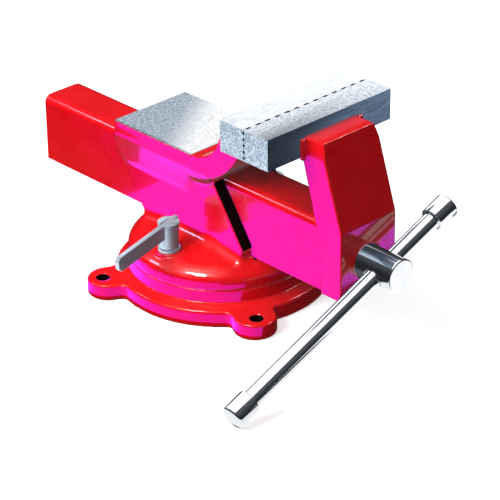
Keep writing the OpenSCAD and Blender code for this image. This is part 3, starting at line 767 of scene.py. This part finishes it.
def lock_lever(side, turn_degrees, body):
    """One clamp nut and its arm: side is -1 or 1, and the arm points at turn_degrees."""
    label = {-1: "left", 1: "right"}[side]
    turn = math.radians(turn_degrees)
    centre = side * lock_r

    def hub(x, y, z):
        rho = np.hypot(x - centre, y)
        barrel = shared(rho - hub_r, between(z, hub_low, hub_top), 0.5)
        rim = shared(rho - rim_r, between(z, hub_top - rim_h, hub_top), 0.7)
        solid = joined(barrel, rim, 0.6)
        along, beside, above = along_arm(x - centre, y, z, turn)
        slot = np.maximum(np.abs(beside) - arm_t / 2 - 0.06, -arm_h - 0.04 - above)
        solid = cut(solid, slot, 0.25)
        bore = np.maximum(rho - lock_hole_r, z - hub_top + arm_h + 1)
        return cut(solid, bore, 0.4)

    def arm(x, y, z):
        along, beside, above = along_arm(x - centre, y, z, turn)
        edge = np.abs(above + arm_h / 2) - arm_h / 2
        profile = np.maximum(between(along, -arm_stub, arm_length), edge)
        corner = (along - arm_length + edge + arm_chamfer) / math.sqrt(2)
        profile = shared(profile, corner, 0.8)
        return shared(profile, np.abs(beside) - arm_t / 2, 0.45)

    reach = (arm_length + 2) * Vector((math.cos(turn), math.sin(turn), 0))
    low = (centre + min(0, reach.x) - 11, min(0, reach.y) - 11, hub_top - 22)
    high = (centre + max(0, reach.x) + 11, max(0, reach.y) + 11, hub_top + 2)
    solid_piece(f"lock_hub_{label}_turned", hub, (centre - 10, -10, hub_low), (centre + 10, 10, hub_top),
                0.5, zinc, body, "zinc_plate", [f"lock_hub_{label}"])
    solid_piece(f"lock_arm_{label}_flat", arm, low, high, 0.6, zinc, body, "zinc_plate",
                [f"lock_arm_{label}"])

    def washer(x, y, z):
        rho = np.hypot(x - centre, y)
        ring = np.maximum(rho - hub_r - 1, lock_hole_r - rho)
        return shared(ring, np.maximum(lock_pad_z - z, z - lock_pad_z - lock_washer_t + 0.1), 0.5)

    solid_piece(f"lock_washer_{label}_turned", washer, (centre - 10, -10, lock_pad_z),
                (centre + 10, 10, hub_low), 0.5, zinc, "body", "zinc_plate", [f"lock_washer_{label}"])


lock_lever(-1, 188, "lever_left")
lock_lever(1, 60, "lever_right")


# ---------------------------------------------------------------- moving jaw and its slide
# The moving jaw and its square slide are one iron casting, hollow below and behind, with a
# leaning upright in front. It is painted all over, and only the screw's bore is machined.
slide_half, slide_low, slide_high, slide_r = 19.5, 43.0, 99.0, 6.5
channel_half, slide_roof = 14.0, 6.0
slide_rear = 186.5
moving_back = -115.55
wall_rear, wall_front = -134.15, -154.65
upright_half, upright_low = 28.3, 47.0
bend_z = 102.0
shoulder_tilt, shoulder_in = math.radians(14), 2.6  # the upright's sides lean in towards its top
seat_over, seat_t = 3.0, 3.0
screw_z = 71.0
screw_r = 10.0
counterbore_r, washer_seat = 13.8, -150.15
upright_side = rounded([
    (moving_back, casting_top, 0), (moving_back, seat_bottom, 0), (wall_rear + 3, slide_high - 5, 10),
    (wall_rear, slide_high - 20, 10), (wall_rear, upright_low, 0), (wall_front, upright_low, 0),
    (wall_front, bend_z, 7), (wall_rear, casting_top, 0)])


def moving_jaw(x, y, z):
    aside = np.abs(x)
    square = np.maximum(aside - slide_half, between(z, slide_low, slide_high))
    corner = np.hypot(np.maximum(aside - slide_half + slide_r, 0),
                      np.maximum(z - slide_high + slide_r, 0)) - slide_r
    inner = (aside > slide_half - slide_r) & (z > slide_high - slide_r)
    slide = np.where(inner, corner, square)
    slide = shared(slide, between(y, wall_rear - 1, slide_rear), 1.2)
    upright = shared(inside_of(upright_side, y, z), aside - upright_half, 1.0)
    shoulder = ((aside - upright_half + shoulder_in) * math.cos(shoulder_tilt)
                + (z - casting_top) * math.sin(shoulder_tilt))
    upright = shared(upright, np.maximum(shoulder, -100), 0.9)
    pad = block(x, y, z, (-upright_half - seat_over + 1, moving_back - seat_t + 1, seat_bottom + 1),
                (upright_half + seat_over - 1, moving_back, casting_top - 0.5 - 1)) - 1
    pad = np.maximum(pad, y - moving_back)
    solid = joined(joined(upright, pad, 0.8), slide, 4.0)
    hollow = block(x, y, z, (-channel_half, wall_rear, slide_low - 50),
                   (channel_half, 400, slide_high - slide_roof))
    solid = cut(solid, hollow, 1.2)
    depth = np.hypot(x, z - screw_z)
    bore = np.minimum(depth - screw_r - 0.1, np.maximum(depth - counterbore_r, y - washer_seat))
    solid = cut(solid, np.maximum(bore, y + 100), 0.8)
    screws = np.maximum(np.hypot(aside - jaw_screw_x, z - jaw_screw_z) - jaw_hole_r,
                        moving_back - jaw_screw_grip - y)
    screws = np.maximum(screws, y - moving_back - 5)
    return cut(solid, screws, 0.3)


solid_piece("moving_jaw_casting", moving_jaw, (-32, wall_front, slide_low), (32, slide_rear, casting_top),
            1.2, enamel, "jaw", "red_enamel", ["moving_jaw"])


# ---------------------------------------------------------------- jaw bars and their screws
# Two hardened steel bars, ground on every face, with crossed grooves milled into the faces
# that grip. Each is held from its gripping face by two black socket screws.
jaw_w, jaw_bar_t, jaw_bar_h = 125.0, 24.2, 24.5
jaw_top = 175.0
jaw_bottom = jaw_top - jaw_bar_h
jaw_line, jaw_gap = -91.2, 0.3
groove_depth, groove_half, groove_draw = 0.8, 2.5, 0.4
upright_grooves, level_grooves = 13, 5
screw_head_r = 6.5
screw_sink, screw_clear_r = 9.0, 4.2
clear_of_face, over = 0.2, 1.0  # how far a cutter stands out of the face, and past the bar


def ground_steel(speckle):
    """Surface-ground steel: fine lines along the bar, grey-blue mottling and small pits, painted lighter
    on upward faces as painted highlight and darker on front faces as painted shade.
    """
    ground = Finish("ground_steel", 0.3, 1.0)
    lines = ground.noise(0.0006, 4.0, 0.6, where=ground.stretched(0.05, 1.0, 1.0))
    mottle = ground.ranged(ground.noise(0.0015, 4.0, 0.6), 0.38, 0.66)
    grain = ground.ranged(ground.noise(0.0018, 4.0, 0.7), 0.44, 0.60)
    clean = ground.mixed(lines, (0.92, 0.94, 0.96), (0.80, 0.84, 0.88))
    bright = ground.mixed(ground.sum("MULTIPLY", grain, speckle), clean, (0.42, 0.53, 0.66))
    dull = ground.mixed(mottle, (0.30, 0.39, 0.50), (0.80, 0.87, 0.93))
    dull = ground.mixed(ground.ranged(ground.noise(0.007, 3.0), 0.5, 0.75), dull, (0.34, 0.43, 0.54))
    facing = ground.nodes.new("ShaderNodeSeparateXYZ")
    ground.links.new(ground.nodes.new("ShaderNodeTexCoord").outputs["Normal"], facing.inputs[0])
    # Painted shade: faces turned to the front take a darker blue.
    front = ground.ranged(ground.sum("MULTIPLY", facing.outputs["Y"], -1.0), 0.3, 0.8)
    dull = ground.mixed(front, dull, ground.mixed(mottle, (0.26, 0.36, 0.50), (0.36, 0.47, 0.62)))
    # Painted highlight: faces turned up take the lighter, speckled colour.
    top = ground.ranged(facing.outputs["Z"], 0.3, 0.8)
    ground.into("Base Color", ground.mixed(top, dull, bright))
    ground.into("Roughness", ground.ranged(lines, 0.3, 0.7, 0.28, 0.5))
    ground.bump(lines, 0.000012)
    ground.bump(ground.noise(0.0016, 4.0), 0.00003)
    return ground.material


def groove_black_shade():
    """The grooves' walls, near black with faint mottling, as painted shade in the grooves."""
    black_shade = Finish("groove_black_shade", 0.6)
    black_shade.into("Base Color", black_shade.mixed(black_shade.noise(0.0015, 3.0), (0.004, 0.004, 0.006), (0.03, 0.03, 0.035)))
    black_shade.into("Roughness", black_shade.ranged(black_shade.noise(0.002, 3.0), 0.3, 0.7, 0.45, 0.8))
    black_shade.bump(black_shade.noise(0.0008, 3.0), 0.00003)
    return black_shade.material


def tube_faces(rows, sides, flip=False):
    """Faces over rows of points in rings, closed at both ends. flip turns them inside out."""
    faces = []
    for a in range(0, (rows - 1) * sides, sides):
        b = a + sides
        faces += [(a + k, a + (k + 1) % sides, b + (k + 1) % sides, b + k) for k in range(sides)]
    faces += [tuple(range(sides))[::-1], tuple(range((rows - 1) * sides, rows * sides))]
    return [face[:1] + face[:0:-1] for face in faces] if flip else faces


def mesh_piece(name, points, faces, finish, smooth_below=35):
    """A piece from vertices in mm and faces, smooth where its faces meet at a low angle."""
    mesh = bpy.data.meshes.new(name)
    mesh.from_pydata([Vector(p) * MM for p in points], [], faces)
    mesh.materials.append(finish)
    mesh.polygons.foreach_set("use_smooth", [True] * len(mesh.polygons))
    mesh.set_sharp_from_angle(angle=math.radians(smooth_below))
    return added(name, mesh)


def with_modifiers(piece):
    """Applies the piece's modifiers to its mesh."""
    bpy.context.view_layer.update()
    made = bpy.data.meshes.new_from_object(piece.evaluated_get(bpy.context.evaluated_depsgraph_get()))
    piece.modifiers.clear()
    piece.data = made
    return piece


def carve(piece, points, faces):
    """Cuts a closed tool shape out of the piece, exactly."""
    tool = mesh_piece(piece.name + "_tool", points, faces, piece.data.materials[0])
    step = piece.modifiers.new("carve", "BOOLEAN")
    step.operation = "DIFFERENCE"
    step.solver = "EXACT"
    step.object = tool
    with_modifiers(piece)
    bpy.data.objects.remove(tool)


def box_shape(low, high):
    """A square block's corners and faces."""
    corners = [(x, y, z) for x in (low[0], high[0]) for y in (low[1], high[1]) for z in (low[2], high[2])]
    return corners, [(0, 1, 3, 2), (4, 6, 7, 5), (0, 4, 5, 1), (2, 3, 7, 6), (0, 2, 6, 4), (1, 5, 7, 3)]


def groove_cutters(face_y, outward):
    """A cutter for each groove, as (points, faces), a little narrower at its flat bottom."""
    spans = []
    for i in range(upright_grooves):
        x = jaw_w * ((i + 0.5) / upright_grooves - 0.5)
        spans.append((x - groove_half, x + groove_half, jaw_bottom - over, jaw_top + over, groove_draw, 0))
    for i in range(level_grooves):
        z = jaw_bottom + jaw_bar_h * (i + 0.5) / level_grooves
        end = jaw_w / 2 + over
        spans.append((-end, end, z - groove_half / 2, z + groove_half / 2, 0, groove_draw))
    mouth, depth = face_y - outward * clear_of_face, face_y + outward * groove_depth
    faces = [(0, 1, 2, 3), (4, 7, 6, 5), (0, 4, 5, 1), (1, 5, 6, 2), (2, 6, 7, 3), (3, 7, 4, 0)]
    if outward < 0:
        faces = [face[::-1] for face in faces]
    for x0, x1, z0, z1, draw_x, draw_z in spans:
        yield [(x0, mouth, z0), (x1, mouth, z0), (x1, mouth, z1), (x0, mouth, z1),
               (x0 + draw_x, depth, z0 + draw_z), (x1 - draw_x, depth, z0 + draw_z),
               (x1 - draw_x, depth, z1 - draw_z), (x0 + draw_x, depth, z1 - draw_z)], faces


def screw_hole_cutters(face_y, outward):
    """Two cutters for each screw, one for its head and one for its shank, as (points, faces)."""
    sides = 32
    faces = tube_faces(2, sides)
    if outward > 0:
        faces = [face[::-1] for face in faces]
    for side in (-1, 1):
        for radius, depth in ((screw_head_r + 0.3, screw_sink), (screw_clear_r, jaw_bar_t + over)):
            yield [(side * jaw_screw_x + radius * math.cos(2 * math.pi * k / sides), y,
                    jaw_screw_z + radius * math.sin(2 * math.pi * k / sides))
                   for y in (face_y - outward * clear_of_face, face_y + outward * depth)
                   for k in range(sides)], faces


def jaw_bar(name, face_y, outward, body, speckle):
    """A bar whose grooved face is at face_y, its back lying towards outward."""
    low_y, high_y = sorted((face_y, face_y + outward * jaw_bar_t))
    blank = box_shape((-jaw_w / 2, low_y, jaw_bottom), (jaw_w / 2, high_y, jaw_top))
    bar = mesh_piece(name + "_ground", *blank, finish=ground_steel(speckle))
    for cutter in (*groove_cutters(face_y, outward), *screw_hole_cutters(face_y, outward)):
        carve(bar, *cutter)
    # The faces inside the grooves take the near-black finish, as painted shade.
    bar.data.materials.append(black_shade)
    for face in bar.data.polygons:
        inside = (face.center.y / MM - face_y) * outward
        if 0.05 < inside < groove_depth + 0.05:
            face.material_index = 1
    edge = bar.modifiers.new("edge", "BEVEL")
    edge.width = 0.35 * MM
    edge.segments = 2
    edge.limit_method = "ANGLE"
    edge.angle_limit = math.radians(50)
    with_modifiers(bar)
    bar.data.set_sharp_from_angle(angle=math.radians(20))
    steel.objects.link(bar)
    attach(bar, body)
    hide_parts(name)
    return bar


black_shade = groove_black_shade()
jaw_bar("fixed_jaw_bar", jaw_line + jaw_gap / 2, 1, "body", 0.25)
jaw_bar("moving_jaw_bar", jaw_line - jaw_gap / 2, -1, "jaw", 0.9)
for name in ("fixed_jaw_screws", "moving_jaw_screws"):
    repaint(name, oxide)


# ---------------------------------------------------------------- lead screw
# A chromed steel screw: a round head with a cross hole for the bar, then a shank with a
# square-shouldered thread, one turn every 5 mm, which runs in the nut.
head_r, head_back, head_front = 13.0, -152.15, -187.65
screw_rear = 154.0
cross_y = (head_back + head_front) / 2
handle_r = 7.0
handle_tilt = math.radians(22)
pitch, thread_depth = 5.0, 1.6
thread_start = -95.0


def bright_chrome():
    """Polished chrome: a mirror with faint smears, hairline scratches and fine dust."""
    chrome = Finish("bright_chrome", 0.08, 1.0)
    smear = chrome.noise(0.009, 3.0)
    chrome.into("Base Color", chrome.mixed(smear, (0.86, 0.87, 0.89), (0.76, 0.78, 0.81)))
    chrome.into("Roughness", chrome.ranged(chrome.noise(0.0015, 4.0, 0.7), 0.35, 0.75, 0.06, 0.17))
    chrome.bump(chrome.noise(0.0010, 2.0), 0.000004)
    return chrome.material


def screw_head(x, y, z):
    body = shared(np.hypot(x, z - screw_z) - head_r, between(y, head_front, head_back), 1.3)
    along = x * math.cos(handle_tilt) + (z - screw_z) * math.sin(handle_tilt)
    rest = np.sqrt(np.maximum(x ** 2 + (y - cross_y) ** 2 + (z - screw_z) ** 2 - along ** 2, 0))
    return cut(body, rest - handle_r - 0.2, 0.7)


def turned_thread(name, finish):
    """The shank, swept ring by ring: plain in front, threaded behind, chamfered at its end."""
    points = []
    sides = 48
    rows = np.arange(head_back - 1, screw_rear, pitch / 12).tolist() + [screw_rear - 1.5, screw_rear]
    for y in sorted(rows):
        for k in range(sides):
            phase = ((y / pitch) + k / sides) % 1
            crest = min(1, max(0, 3.2 * (0.5 - abs(phase - 0.5)) - 0.3))
            cut_in = thread_depth * (1 - crest) if y > thread_start else 0
            r = min(screw_r - cut_in, screw_r + 0.3 + (screw_rear - y) - 2)
            a = 2 * math.pi * k / sides
            points.append((r * math.cos(a), y, screw_z + r * math.sin(a)))
    return mesh_piece(name, points, tube_faces(len(rows), sides, flip=True), finish, 50)


chrome = bright_chrome()
solid_piece("lead_screw_head", screw_head, (-14, head_front, screw_z - 14), (14, head_back, screw_z + 14),
            0.6, chrome, "screw", "bright_chrome", ["lead_screw"])
thread = turned_thread("lead_screw_thread", chrome)
polished.objects.link(thread)
thread.visible_glossy = False
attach(thread, "screw")
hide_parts("lead_screw")


# ---------------------------------------------------------------- thrust washer, spring and collar
# A bronze washer takes the push of the screw's head. Behind the jaw's wall a coil spring and
# a pinned steel collar take its pull, so that the jaw follows the screw back.
wall_gap = 0.3
spring_length, wire_r, coil_turns = 12.0, 1.0, 3.5
coil_r = screw_r + 0.1 + wire_r + 0.3


def coil_spring(name, finish):
    """Round wire along a helix, its ends lying flat."""
    points = []
    sides, steps = 12, 140
    start = wall_rear + wall_gap + wire_r
    rise = spring_length - 2 * wire_r
    for i in range(steps + 1):
        t = i / steps
        a = 2 * math.pi * coil_turns * t
        y = start + rise * min(1, max(0, (t - 0.14) / 0.72))
        for k in range(sides):
            b = 2 * math.pi * k / sides
            r = coil_r + wire_r * math.cos(b)
            points.append((r * math.cos(a), y + wire_r * math.sin(b), screw_z + r * math.sin(a)))
    return mesh_piece(name, points, tube_faces(steps + 1, sides), finish, 50)


spring = coil_spring("thrust_spring_wound", oxide)
spring.visible_glossy = False
steel.objects.link(spring)
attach(spring, "screw")
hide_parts("thrust_spring")
repaint("thrust_washer", bronze)
repaint("retaining_collar", oxide)
repaint("collar_pin", chrome)


# ---------------------------------------------------------------- tommy bar and its caps
# A chromed steel bar slides freely through the screw's head. Two turned caps are pressed on
# its ends, a little wider than the bar, so that it can't fall out.
bar_length, cap_r, cap_length = 236.0, 9.5, 19.0
bar_shift = -45.0
bar_way = Vector((math.cos(handle_tilt), 0, math.sin(handle_tilt)))
bar_side = Vector((0, 1, 0))
bar_up = bar_way.cross(bar_side)


def turned_on_bar(name, profile, finish, node):
    """A lathe shape on the bar's axis, from (along, radius) points in mm."""
    sides = 72
    centre = Vector((0, cross_y, screw_z)) + bar_way * bar_shift
    points = []
    for along, r in profile:
        for k in range(sides):
            a = 2 * math.pi * k / sides
            points.append(centre + bar_way * along + (bar_side * math.cos(a) + bar_up * math.sin(a)) * r)
    piece = mesh_piece(name, points, tube_faces(len(profile), sides), finish, 32)
    polished.objects.link(piece)
    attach(piece, "handle")
    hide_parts(node)
    return piece


def cap_profile(inner, outer):
    """From the cap's open end at inner to its closed end at outer, with soft edges."""
    way = 1 if outer > inner else -1
    lead = [(inner, handle_r + 0.15), (inner, cap_r - 0.8)]
    lead += [(inner + way * 0.8 * (1 - math.cos(t)), cap_r - 0.8 + 0.8 * math.sin(t))
             for t in (math.pi / 6, math.pi / 3, math.pi / 2)]
    tail = [(outer - way * 1.5 * (1 - math.sin(t)), cap_r - 1.5 * (1 - math.cos(t)))
            for t in (0, math.pi / 8, math.pi / 4, 3 * math.pi / 8, math.pi / 2)]
    tail += [(outer, 0.05)]
    profile = lead + tail
    return profile if way > 0 else profile[::-1]


bar_half = bar_length / 2
plain_half = bar_half - cap_length / 2 + 0.5  # the bar's ends lie inside its caps
turned_on_bar("handle_bar_turned", [(-plain_half, handle_r), (plain_half, handle_r)], chrome, "handle_bar")
turned_on_bar("handle_cap_left_turned", cap_profile(-bar_half + cap_length, -bar_half), chrome,
              "handle_cap_left")
turned_on_bar("handle_cap_right_turned", cap_profile(bar_half - cap_length, bar_half), chrome,
              "handle_cap_right")
